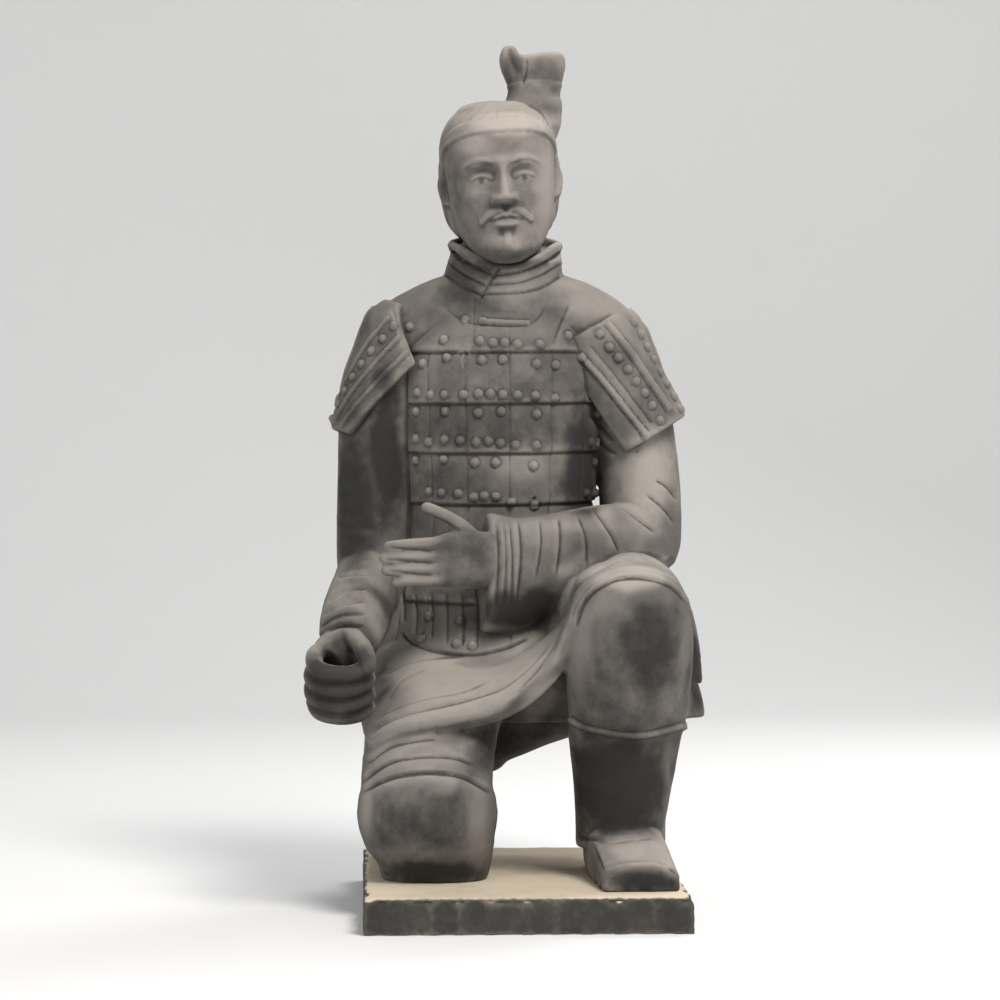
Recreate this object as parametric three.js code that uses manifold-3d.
// A life-size kneeling warrior of fired clay on a low slab.
// Millimetres, +Z up, the figure faces -Y. The origin is the middle of the slab's underside.
import * as THREE from "three";
import { mergeVertices } from "three/addons/utils/BufferGeometryUtils.js";
import Module from "manifold-3d";

const wasm = await Module();
wasm.setup();

// Driving dimensions.
const plinthWidth = 446;
const plinthDepth = 580;
const plinthHeight = 50;
const plinthEdgeWear = 5;
const restGap = 0.3; // clearance between two clay pieces that touch
const figureHeight = 1200; // from the top of the slab to the top of the topknot
const rivetRadius = 7.5;
const rivetHeight = 4.5;
const plateStep = 4.5; // how far one row of armour plates stands out over the next
const collarBandStep = 4;
const neckRadius = 60;
const neckClearance = 4; // room between the neck and the inside of the collar
const socketDepth = 70; // below the front rim of the collar
const headTilt = THREE.MathUtils.degToRad(4.5); // the chin leans to the figure's left
const gripRadius = 13; // the bore that the right fist closes round

// The pose and the carving are shares of the figure's height, written for a figure of 1200.
const unit = figureHeight / 1200;
const neckAxis = [-20 * unit, 144 * unit];
const neckLength = 120 * unit;
const collarRim = 861 * unit; // height of its front above the slab
const socketFloor = collarRim - socketDepth;
const clay = "#8d8377";
const darkClay = "#6f675e";
const paleClay = "#a08f7e";

// Turns a closed three.js geometry into a solid for joining and cutting.
function solid(geometry) {
  const bare = geometry.clone();
  bare.deleteAttribute("normal");
  bare.deleteAttribute("uv");
  const merged = mergeVertices(bare, 1e-3);
  const triVerts = new Uint32Array(merged.index.array);
  const vertProperties = merged.attributes.position.array;
  let made = new wasm.Manifold(new wasm.Mesh({ numProp: 3, vertProperties, triVerts }));
  if (made.volume() < 0) {
    for (let i = 0; i < triVerts.length; i += 3) {
      [triVerts[i], triVerts[i + 1]] = [triVerts[i + 1], triVerts[i]];
    }
    made = new wasm.Manifold(new wasm.Mesh({ numProp: 3, vertProperties, triVerts }));
  }
  return made;
}

function join(solids) {
  return solids.reduce((sum, next) => sum.add(next));
}

// The one outer skin, without the closed pockets that masses leave between them.
function outerSkin(made) {
  return made.decompose().reduce((best, next) => (next.volume() > best.volume() ? next : best));
}

function meshOf(made, name, colour, roughness) {
  const { numProp, vertProperties, triVerts } = made.getMesh();
  const geometry = new THREE.BufferGeometry();
  const count = vertProperties.length / numProp;
  const positions = new Float32Array(count * 3);
  for (let i = 0; i < count; i++) {
    positions.set(vertProperties.subarray(i * numProp, i * numProp + 3), i * 3);
  }
  geometry.setAttribute("position", new THREE.BufferAttribute(positions, 3));
  geometry.setIndex(new THREE.BufferAttribute(triVerts, 1));
  geometry.computeVertexNormals();
  const material = new THREE.MeshStandardMaterial({ color: colour, roughness, metalness: 0 });
  const mesh = new THREE.Mesh(geometry, material);
  mesh.name = name;
  return mesh;
}

// A smooth clay mass through stations of [x, y, z, half width, half depth].
// level: rings stay horizontal, as in a torso. Otherwise they cross the path, as in a limb.
// front: the side that half depth points to. dome: how far the two ends bulge out.
// relief(t, angle) lifts the surface by real millimetres; angle 0 is the front, towards +X it grows.
function mass(stations, options = {}) {
  const { sides = 16, rings = 8, level = false, dome = [0, 0], roundness = 2, tilt = 0 } = options;
  const relief = options.relief ?? (() => 0);
  const front = new THREE.Vector3(...(options.front ?? [0, -1, 0])).normalize();
  const centres = new THREE.CatmullRomCurve3(
    stations.map(([x, y, z]) => new THREE.Vector3(x, y, z).multiplyScalar(unit)),
  );
  const halves = new THREE.CatmullRomCurve3(
    stations.map(([, , , a, b]) => new THREE.Vector3(a, b, 0).multiplyScalar(unit)),
  );
  const levels = options.levels ?? Array.from({ length: rings + 1 }, (_, i) => i / rings);
  const steps = levels.map((t) => ({ t, push: 0, shrink: 1 }));
  const domeRings = [Math.PI / 4];
  if (dome[0] > 0) {
    const start = domeRings.map((turn) => ({
      t: levels[0],
      push: -dome[0] * unit * Math.sin(turn),
      shrink: Math.cos(turn),
    }));
    steps.unshift(...start);
  }
  if (dome[1] > 0) {
    const end = domeRings.map((turn) => ({
      t: levels[levels.length - 1],
      push: dome[1] * unit * Math.sin(turn),
      shrink: Math.cos(turn),
    }));
    steps.push(...end.reverse());
  }
  const geometry = new THREE.CylinderGeometry(1, 1, 1, sides, steps.length - 1);
  const position = geometry.attributes.position;
  const along = new THREE.Vector3();
  for (let i = 0; i < position.count; i++) {
    const local = new THREE.Vector3().fromBufferAttribute(position, i);
    const step = steps[Math.round((local.y + 0.5) * (steps.length - 1))];
    const radius = Math.hypot(local.x, local.z);
    const angle = Math.atan2(local.x, local.z);
    const t = THREE.MathUtils.clamp(step.t, 0, 1);
    if (level) along.set(0, 0, 1);
    else centres.getTangent(t, along);
    const ahead = front.clone().addScaledVector(along, -front.dot(along)).normalize();
    const side = along.clone().cross(ahead);
    const half = halves.getPoint(t);
    const bend = 2 / roundness;
    const across = Math.sign(local.x) * Math.abs(Math.sin(angle)) ** bend;
    const forth = Math.sign(local.z) * Math.abs(Math.cos(angle)) ** bend;
    const grow = relief(t, angle);
    const centre = centres.getPoint(t);
    const atEnd = radius < 0.5;
    const first = step === steps[0];
    const push = atEnd ? (first ? -dome[0] : dome[1]) * unit : step.push;
    const reach = atEnd ? 0 : step.shrink;
    const point = centre
      .clone()
      .addScaledVector(side, across * (half.x + grow) * reach)
      .addScaledVector(ahead, forth * (half.y + grow) * reach)
      .addScaledVector(along, push);
    point.z += tilt * t * (point.y - centre.y);
    position.setXYZ(i, point.x, point.y, point.z);
  }
  return solid(geometry);
}

// A curved panel of even thickness. surface(u, v) gives its outer face for u and v from 0 to 1.
function panel(columns, rows, thickness, surface) {
  const geometry = new THREE.BoxGeometry(1, 1, 1, columns, rows, 1);
  const position = geometry.attributes.position;
  const e = 0.01;
  const at = (u, v) => surface(THREE.MathUtils.clamp(u, 0, 1), THREE.MathUtils.clamp(v, 0, 1));
  for (let i = 0; i < position.count; i++) {
    const u = position.getX(i) + 0.5;
    const v = position.getY(i) + 0.5;
    const outer = at(u, v);
    const du = at(u + e, v).sub(at(u - e, v));
    const dv = at(u, v + e).sub(at(u, v - e));
    const normal = du.cross(dv).normalize();
    const depth = position.getZ(i) > 0 ? 0 : -thickness;
    const point = outer.addScaledVector(normal, depth).multiplyScalar(unit);
    position.setXYZ(i, point.x, point.y, point.z);
  }
  return solid(geometry);
}

function ball(centre, radii, across = 12, down = 8) {
  const geometry = new THREE.SphereGeometry(1, across, down);
  geometry.scale(...radii.map((r) => r * unit));
  geometry.translate(...centre.map((c) => c * unit));
  return solid(geometry);
}

function curveThrough(points) {
  return new THREE.CatmullRomCurve3(points.map((p) => new THREE.Vector3(...p)));
}

// A low clay rivet standing on a surface, lifted along its normal.
function rivet(point, normal, lift = 0) {
  const sunk = rivetHeight / 2;
  const flare = (rivetHeight + sunk) / rivetHeight;
  const geometry = new THREE.ConeGeometry(rivetRadius * flare, rivetHeight + sunk, 4, 1);
  geometry.translate(0, (rivetHeight - sunk) / 2, 0);
  const outward = normal.clone().normalize();
  const turn = new THREE.Quaternion().setFromUnitVectors(new THREE.Vector3(0, 1, 0), outward);
  geometry.applyQuaternion(turn);
  const foot = point.clone().multiplyScalar(unit).addScaledVector(outward, lift);
  geometry.translate(foot.x, foot.y, foot.z);
  return solid(geometry);
}

// The armour coat's outline at height z, as [x, y, half width, half depth].
const coatStations = [
  [-22, 142, 276, 160, 158],
  [-22, 142, 304, 164, 164],
  [-20, 150, 380, 146, 134],
  [-20, 152, 450, 138, 114],
  [-20, 150, 520, 136, 108],
  [-20, 149, 600, 142, 110],
  [-20, 148, 680, 146, 112],
  [-20, 146, 740, 146, 106],
  [-20, 144, 790, 120, 88],
  [-20, 143, 822, 88, 80],
];
const coatCurve = new THREE.CatmullRomCurve3(coatStations.map(([x, y, z]) => new THREE.Vector3(x, y, z)));
const coatHalf = new THREE.CatmullRomCurve3(coatStations.map(([, , , a, b]) => new THREE.Vector3(a, b, 0)));
const plateLines = [380, 450, 521, 595, 666, 740]; // heights where one row of plates ends over the next
const coatTurn = THREE.MathUtils.degToRad(-9); // the chest turns a little to the figure's right

function coatLevel(z) {
  let low = 0;
  let high = 1;
  for (let i = 0; i < 24; i++) {
    const middle = (low + high) / 2;
    if (coatCurve.getPoint(middle).z < z) low = middle;
    else high = middle;
  }
  return low;
}

function coatPoint(z, angle) {
  const t = coatLevel(z);
  const centre = coatCurve.getPoint(t);
  const half = coatHalf.getPoint(t);
  return new THREE.Vector3(
    centre.x + Math.sin(angle) * half.x,
    centre.y - Math.cos(angle) * half.y,
    z,
  );
}

function coat() {
  const lip = 1.5;
  const levels = [0];
  const lifts = [plateStep];
  for (const z of plateLines) {
    levels.push(coatLevel(z - lip), coatLevel(z));
    lifts.push(0, plateStep);
  }
  levels.push(coatLevel(785));
  lifts.push(0);
  const relief = (t) => lifts[levels.indexOf(t)] ?? 0;
  return mass(coatStations, { level: true, sides: 18, levels, relief });
}

function coatRivets() {
  const made = [];
  const columns = [-3, -2, -1, 0, 1, 2, 3].map((c) => coatTurn + c * 0.44);
  const above = 14;
  const below = 13;
  plateLines.slice(1).forEach((z, row) => {
    columns.forEach((angle, c) => {
      if (row === 0 && c < 2) return;
      const upper = c === 3 ? [-0.11, 0, 0.11] : [-0.1, 0.1];
      const lower = c === 3 ? [-0.1, 0.1] : [];
      for (const off of upper) made.push([z + above, angle + off, plateStep - 1]);
      for (const off of lower) made.push([z - below, angle + off, 1]);
    });
  });
  return made.map(([z, angle, lift]) => {
    const normal = new THREE.Vector3(Math.sin(angle), -Math.cos(angle), 0);
    return rivet(coatPoint(z, angle), normal, lift);
  });
}

// The scarf wound round the neck: bands that dip at the front.
function collar() {
  const bands = 3;
  const levels = [];
  const lifts = [];
  for (let band = 0; band < bands; band++) {
    levels.push(band / bands + 0.01, (band + 0.85) / bands);
    lifts.push(0, collarBandStep);
  }
  levels.push(1);
  lifts.push(0);
  const relief = (t) => lifts[levels.indexOf(t)] ?? 0;
  const stations = [
    [-19, 142, 806, 93, 84],
    [-17, 142, 836, 89, 80],
    [-15, 144, 864, 85, 77],
    [-12, 146, 892, 82, 76],
  ];
  return mass(stations, { level: true, sides: 16, levels, relief, tilt: 0.34 });
}

function shoulders() {
  const stations = [
    [-178, 150, 752, 52, 56],
    [-140, 148, 776, 66, 58],
    [-84, 146, 804, 76, 56],
    [-20, 145, 814, 80, 52],
    [46, 146, 806, 76, 56],
    [104, 148, 776, 66, 58],
    [146, 150, 752, 54, 56],
  ];
  return mass(stations, { sides: 10, rings: 5, front: [0, 0, 1], dome: [36, 36] });
}

// The right arm hangs from the shoulder and bends forward to the fist at the hip.
function rightArm() {
  const upper = [
    [-172, 150, 760, 54, 54],
    [-194, 150, 680, 58, 56],
    [-203, 150, 560, 56, 54],
    [-208, 146, 440, 52, 52],
    [-212, 130, 400, 46, 46],
  ];
  const sleeve = [
    [-211, 150, 425, 46, 46],
    [-218, 100, 400, 47, 50],
    [-230, 20, 362, 49, 51],
    [-240, -34, 337, 46, 46],
  ];
  const lifted = mass(upper, { sides: 10, rings: 3, dome: [20, 20] });
  const folds = sleeveFolds(2, 4);
  const lower = mass(sleeve, { sides: 10, rings: 7, front: [0, 0, 1], relief: folds, dome: [0, 22] });
  return join([lifted, lower]);
}

// Rings of gathered cloth along a sleeve.
function sleeveFolds(count, height) {
  return (t) => height * unit * Math.sin(t * count * 2 * Math.PI);
}

function leftArm() {
  const upper = [
    [142, 150, 760, 54, 54],
    [166, 150, 680, 56, 56],
    [182, 148, 560, 59, 58],
    [188, 142, 470, 58, 58],
    [188, 130, 445, 50, 50],
  ];
  const sleeve = [
    [196, 150, 462, 50, 52],
    [160, 98, 462, 54, 60],
    [96, 48, 452, 52, 64],
    [24, 8, 430, 48, 74],
    [-16, -8, 423, 45, 82],
    [-50, -16, 424, 42, 86],
  ];
  const lifted = mass(upper, { sides: 10, rings: 3, dome: [20, 26] });
  const folds = sleeveFolds(2, 4);
  const lower = mass(sleeve, { sides: 12, rings: 7, front: [0, 0, 1], relief: folds, dome: [20, 0] });
  return join([lifted, lower]);
}

// One finger or thumb through a few points, rounded at its tip.
function finger(points, radius) {
  const stations = points.map((p) => [...p, radius, radius]);
  return mass(stations, { sides: 6, rings: points.length - 1, front: [0, -0.3, 1], dome: [0, radius] });
}

// The flat left hand in front of the belly, seen from its back.
function leftHand() {
  const pitch = 17.5;
  const made = [];
  const lengths = [62, 68, 65, 50];
  lengths.forEach((length, i) => {
    const z = 471 - i * pitch - 2;
    const x = -122;
    made.push(
      finger([[x + 12, -48, z], [x - length * 0.6, -46, z - 1], [x - length + 8, -40, z - 3]], 10),
    );
  });
  const palm = [
    [-40, -34, 440, 24, 34],
    [-72, -42, 444, 21, 40],
    [-100, -46, 444, 18, 39],
    [-126, -47, 444, 12, 33],
  ];
  made.push(mass(palm, { sides: 10, rings: 3, front: [0, 0, 1] }));
  const thumb = [[-64, -36, 462], [-84, -42, 492], [-104, -44, 508], [-132, -42, 517]];
  made.push(finger(thumb, 10));
  return join(made);
}

// The right fist closes round an upright bore. Its top leans forward, so the bore shows.
function rightFist() {
  const lean = THREE.MathUtils.degToRad(24);
  const centre = new THREE.Vector3(-250, -92, 272);
  const place = ([x, y, z]) => {
    const p = new THREE.Vector3(x, y, z).applyAxisAngle(new THREE.Vector3(1, 0, 0), lean).add(centre);
    return [p.x, p.y, p.z];
  };
  const across = [
    [-2, -8, -46, 44, 38],
    [-2, -8, -8, 48, 42],
    [-2, -8, 38, 47, 41],
  ];
  // Four fingers lie one over another, so the fist is grooved between them.
  const fingers = 4;
  const levels = [];
  const lifts = [];
  for (let i = 0; i < fingers; i++) {
    levels.push(i / fingers + 0.02, (i + 0.5) / fingers);
    lifts.push(-4, 2);
  }
  levels.push(1);
  lifts.push(-4);
  const relief = (t) => (lifts[levels.indexOf(t)] ?? 0) * unit;
  const upright = [0, Math.sin(-lean), Math.cos(lean)];
  const made = [
    mass(across.map(([x, y, z, a, b]) => [...place([x, y, z]), a, b]), {
      sides: 12,
      levels,
      relief,
      roundness: 2.6,
      front: [0, -upright[2], upright[1]],
      dome: [5, 5],
    }),
  ];
  const wrist = [
    [8, 80, 8, 34, 36],
    [-4, 44, 6, 36, 44],
    [-8, 6, -2, 40, 44],
  ];
  made.push(mass(wrist.map(([x, y, z, a, b]) => [...place([x, y, z]), a, b]), {
    sides: 10,
    rings: 3,
    front: [0, -0.4, 0.9],
  }));
  const thumb = [[8, 50, 34], [14, 20, 50], [30, -12, 50], [38, -38, 42]];
  made.push(finger(thumb.map(place), 13));
  const bore = new THREE.CylinderGeometry(gripRadius, gripRadius, 240, 8);
  bore.rotateX(Math.PI / 2);
  bore.translate((centre.x - 2) * unit, (centre.y - 8) * unit, centre.z * unit);
  return join(made).subtract(solid(bore));
}

// A shoulder guard: a half pipe of ribbed strips that lies over the shoulder and falls outwards.
function shoulderGuard(top, foot, radius, frontTurns, backTurn, side) {
  const axisTop = new THREE.Vector3(...top);
  const axisFoot = new THREE.Vector3(...foot);
  const along = axisFoot.clone().sub(axisTop).normalize();
  const outward = new THREE.Vector3(side * -along.z, 0, side * along.x);
  const ahead = new THREE.Vector3(0, -1, 0);
  const strips = 4;
  const columns = 2;
  const pointAt = (u, v, lift = 0) => {
    const frontTurn = THREE.MathUtils.lerp(frontTurns[0], frontTurns[1], u);
    const turn = THREE.MathUtils.lerp(frontTurn, backTurn, v);
    const r = radius * (1 - 0.06 * u * u) + lift;
    return axisTop
      .clone()
      .lerp(axisFoot, u)
      .addScaledVector(outward, Math.cos(turn) * r)
      .addScaledVector(ahead, Math.sin(turn) * r);
  };
  const rowsPerStrip = 3;
  const cord = (v) => (Math.abs(v * strips - Math.round(v * strips)) < 0.1 ? 5 : 0);
  const made = [panel(columns, strips * rowsPerStrip, 14, (u, v) => pointAt(u, v, cord(v)))];
  for (const strip of [0, 2]) {
    for (let i = 0; i < 5; i++) {
      const u = 0.1 + (i * 0.8) / 4;
      const v = (strip + 0.5) / strips;
      const point = pointAt(u, v);
      const axis = axisTop.clone().lerp(axisFoot, u);
      made.push(rivet(point, point.clone().sub(axis)));
    }
  }
  return join(made);
}

// Seat and back of the robe, hanging to a heavy hem over the heel.
function robe() {
  const seat = [
    [-66, 206, 136, 56, 50],
    [-30, 208, 165, 92, 72],
    [4, 206, 200, 158, 86],
    [2, 196, 270, 178, 100],
    [-8, 180, 350, 168, 112],
    [-18, 162, 430, 146, 112],
  ];
  const skirt = [
    [22, 172, 205, 262, 112],
    [20, 172, 250, 255, 112],
    [10, 170, 320, 232, 112],
    [-6, 164, 400, 180, 112],
    [-18, 158, 450, 144, 108],
  ];
  const pleats = (t, angle) => 7 * unit * (1 - t) * Math.cos(angle * 5);
  return join([
    mass(seat, { level: true, sides: 10, rings: 2, dome: [20, 0] }),
    mass(skirt, { level: true, sides: 14, rings: 2, relief: pleats }),
  ]);
}

function thighs() {
  const right = [
    [-82, 190, 290, 98, 92],
    [-104, 110, 262, 98, 92],
    [-122, 10, 205, 94, 90],
    [-131, -56, 148, 92, 88],
    [-133, -82, 100, 93, 90],
  ];
  const left = [
    [80, 190, 310, 98, 88],
    [108, 90, 328, 94, 88],
    [140, -20, 352, 90, 90],
    [149, -80, 358, 88, 86],
  ];
  return join([
    mass(right, { sides: 10, rings: 3, front: [0, 0, 1] }),
    mass(left, { sides: 14, rings: 3, front: [0, 0, 1], dome: [0, 40] }),
  ]);
}

// The lap of the robe, stretched from thigh to thigh with a thick front hem.
function lap() {
  const hem = curveThrough([
    [-228, 30, 215],
    [-214, -92, 190],
    [-165, -128, 214],
    [-109, -132, 223],
    [-26, -124, 242],
    [36, -120, 298],
    [70, -138, 382],
    [100, -154, 414],
    [146, -160, 430],
    [192, -152, 418],
    [228, -130, 388],
    [250, -70, 335],
    [268, 30, 262],
  ]);
  const belly = curveThrough([
    [-200, 150, 320],
    [-160, 70, 318],
    [-80, 16, 300],
    [-20, 6, 300],
    [56, 20, 346],
    [100, 20, 410],
    [146, 20, 446],
    [192, 30, 440],
    [228, 60, 400],
    [252, 130, 330],
  ]);
  return panel(14, 3, 24, (u, v) => {
    const low = hem.getPoint(u);
    const high = belly.getPoint(u);
    const point = low.lerp(high, v);
    point.z += 14 * Math.sin(Math.PI * v) + 3 * Math.sin(u * 26 - v * 8) * (1 - v);
    return point;
  });
}

function kneesAndShin() {
  const bent = [
    [-121, -68, -2, 74, 66],
    [-124, -74, 36, 92, 84],
    [-131, -84, 80, 99, 93],
    [-132, -86, 116, 94, 88],
    [-132, -86, 150, 74, 66],
  ];
  const knee = mass(bent, { level: true, sides: 13, rings: 4, dome: [0, 26] });
  const cap = [
    [146, -82, 200, 79, 76],
    [148, -88, 240, 84, 90],
    [149, -90, 300, 90, 98],
    [149, -88, 360, 88, 98],
    [148, -82, 404, 76, 86],
  ];
  const band = (t) => (t < 0.02 ? 3 * unit : 0);
  const raised = mass(cap, { level: true, sides: 14, rings: 4, dome: [0, 40], relief: band });
  const shin = [
    [140, -60, 40, 63, 66],
    [140, -62, 80, 64, 64],
    [143, -70, 140, 71, 67],
    [145, -78, 205, 81, 75],
  ];
  const lower = mass(shin, { level: true, sides: 12, rings: 2 });
  return join([knee, raised, lower]);
}

function leftShoe() {
  const shoe = [
    [140, 48, 34, 44, 44],
    [141, -10, 38, 50, 48],
    [144, -100, 34, 54, 46],
    [150, -160, 20, 54, 36],
    [154, -212, 10, 53, 28],
    [155, -232, 10, 52, 26],
  ];
  return mass(shoe, { sides: 10, rings: 5, front: [0, 0, 1], roundness: 3, dome: [14, 0] });
}

// The right lower leg lies back along the slab, toes turned under the heel.
function rightLowerLeg() {
  const calf = [
    [-132, -80, 88, 88, 84],
    [-128, 20, 82, 80, 76],
    [-120, 120, 78, 66, 64],
    [-114, 196, 96, 58, 56],
    [-110, 228, 124, 50, 48],
  ];
  const foot = [
    [-110, 236, 6, 50, 42],
    [-110, 244, 50, 49, 36],
    [-109, 242, 110, 47, 38],
    [-108, 234, 160, 42, 42],
  ];
  return join([
    mass(calf, { sides: 10, rings: 3, front: [0, 0, 1] }),
    mass(foot, { level: true, sides: 8, rings: 2, dome: [0, 16] }),
    ball([-110, 216, 4], [50, 54, 30], 8, 5),
  ]);
}

function buildBody() {
  const right = shoulderGuard([-146, 146, 770], [-198, 146, 610], 60, [2.1, 1.3], -2.3, -1);
  const left = shoulderGuard([102, 142, 772], [192, 142, 614], 70, [2.3, 2.2], -2.3, 1);
  const socketRadius = neckRadius + neckClearance;
  const socketHeight = socketDepth * 4;
  const socket = new THREE.CylinderGeometry(socketRadius, socketRadius, socketHeight, 18);
  socket.rotateX(Math.PI / 2);
  socket.translate(...neckAxis, socketFloor + socketHeight / 2);
  const everything = join([
    coat(),
    shoulders(),
    collar(),
    rightArm(),
    leftArm(),
    leftHand(),
    rightFist(),
    right,
    left,
    robe(),
    thighs(),
    lap(),
    kneesAndShin(),
    leftShoe(),
    rightLowerLeg(),
    ...coatRivets(),
  ])
    .subtract(solid(socket))
    .subtract(ball([-18, 100, 902], [72, 62, 50], 14, 7));
  const ground = new THREE.BoxGeometry(2 * figureHeight, 2 * figureHeight, figureHeight);
  ground.translate(0, 0, -figureHeight / 2);
  return outerSkin(everything.subtract(solid(ground)));
}

// Leans the head over by its tilt, about a point behind the eyes.
function tilted(made) {
  const pivot = [neckAxis[0], 0, 985 * unit];
  return made
    .translate(pivot.map((p) => -p))
    .rotate([0, -THREE.MathUtils.radToDeg(headTilt), 0])
    .translate(pivot);
}

// The head: skull and jaw in one mass, with the face, ears, cap line and topknot on it.
function buildHead() {
  const skull = [
    [-18, 76, 872, 28, 22],
    [-18, 96, 888, 54, 50],
    [-18, 112, 915, 71, 72],
    [-19, 122, 950, 80, 86],
    [-21, 128, 990, 84, 93],
    [-22, 130, 1035, 85, 96],
    [-22, 132, 1070, 79, 91],
    [-22, 134, 1094, 61, 74],
  ];
  const made = [mass(skull, { level: true, sides: 16, rings: 6, dome: [8, 14] })];
  const backHair = [
    [-20, 150, 922, 72, 50],
    [-20, 156, 950, 80, 62],
    [-20, 156, 984, 84, 68],
    [-20, 150, 1024, 84, 74],
  ];
  made.push(mass(backHair, { level: true, sides: 8, rings: 1, dome: [8, 0] }));
  const cap = [
    [-22, 132, 1050, 88, 100],
    [-22, 133, 1072, 84, 95],
    [-22, 135, 1094, 67, 80],
  ];
  made.push(mass(cap, { level: true, sides: 16, rings: 2, dome: [0, 14], tilt: 0.05 }));
  const nose = [
    [-18, 38, 1012, 8, 10],
    [-18, 30, 990, 10, 12],
    [-18, 20, 968, 15, 14],
    [-18, 30, 958, 16, 12],
  ];
  made.push(mass(nose, { level: false, sides: 6, rings: 4, dome: [4, 4] }));
  for (const side of [-1, 1]) {
    made.push(ball([-18 + side * 31, 50, 996], [17, 12, 8], 8, 4));
    made.push(mass(
      [
        [-18 + side * 10, 38, 1014, 8, 6],
        [-18 + side * 32, 40, 1022, 9, 7],
        [-18 + side * 54, 58, 1016, 8, 5],
      ],
      { sides: 5, rings: 2 },
    ));
    made.push(ball([-20 + side * 84, 136, 985], [10, 20, 32], 6, 4));
    made.push(mass(
      [
        [-18 + side * 3, 26, 951, 4, 6],
        [-18 + side * 22, 31, 947, 5, 7],
        [-18 + side * 38, 42, 938, 3, 4],
      ],
      { sides: 5, rings: 2 },
    ));
  }
  made.push(ball([-18, 38, 938], [22, 12, 5], 8, 4));
  made.push(ball([-18, 40, 928], [18, 12, 5], 8, 4));
  made.push(ball([-18, 42, 909], [5, 8, 14], 6, 4));
  const bunBase = [
    [22, 158, 1070, 40, 40],
    [28, 158, 1100, 40, 40],
    [33, 160, 1122, 39, 39],
    [35, 160, 1140, 37, 36],
  ];
  const topknot = [mass(bunBase, { sides: 10, rings: 2 })];
  const bun = [
    [22, 158, 1134, 26, 26],
    [36, 160, 1158, 39, 28],
    [39, 160, 1178, 37, 24],
  ];
  topknot.push(mass(bun, { level: true, sides: 10, rings: 2, dome: [0, 8] }));
  const loop = [
    [8, 156, 1134, 14, 20],
    [-6, 154, 1168, 15, 18],
    [-6, 154, 1190, 12, 12],
  ];
  topknot.push(mass(loop, { sides: 8, rings: 3, dome: [0, 6] }));
  const neck = new THREE.CylinderGeometry(neckRadius, neckRadius, neckLength, 16);
  neck.rotateX(Math.PI / 2);
  neck.translate(...neckAxis, socketFloor + restGap + neckLength / 2);
  topknot.push(solid(neck));
  return outerSkin(join([tilted(join(made)), ...topknot]));
}

function buildPlinth() {
  const outline = [];
  const perSide = 9;
  const corners = [
    [-1, -1],
    [1, -1],
    [1, 1],
    [-1, 1],
  ];
  corners.forEach(([x, y], i) => {
    const [nextX, nextY] = corners[(i + 1) % 4];
    for (let step = 0; step < perSide; step++) {
      const s = step / perSide;
      const wobble = plinthEdgeWear * (0.5 - 0.5 * Math.sin(7.3 * step + 2.1 * i + 1)) * (step ? 1 : 0.6);
      const px = (x + (nextX - x) * s) * (plinthWidth / 2);
      const py = (y + (nextY - y) * s) * (plinthDepth / 2);
      const inward = new THREE.Vector2(-px / plinthWidth, -py / plinthDepth).normalize();
      outline.push(new THREE.Vector2(px + inward.x * wobble, py + inward.y * wobble));
    }
  });
  const geometry = new THREE.ExtrudeGeometry(new THREE.Shape(outline), {
    depth: plinthHeight,
    bevelEnabled: false,
  });
  return solid(geometry);
}

const statue = new THREE.Group();
statue.add(meshOf(buildPlinth(), "plinth", darkClay, 0.95));
const figure = new THREE.Group();
figure.position.z = plinthHeight + restGap;
figure.add(meshOf(buildBody(), "warrior_body", clay, 0.9));
figure.add(meshOf(buildHead(), "head", paleClay, 0.88));
statue.add(figure);

export default statue;
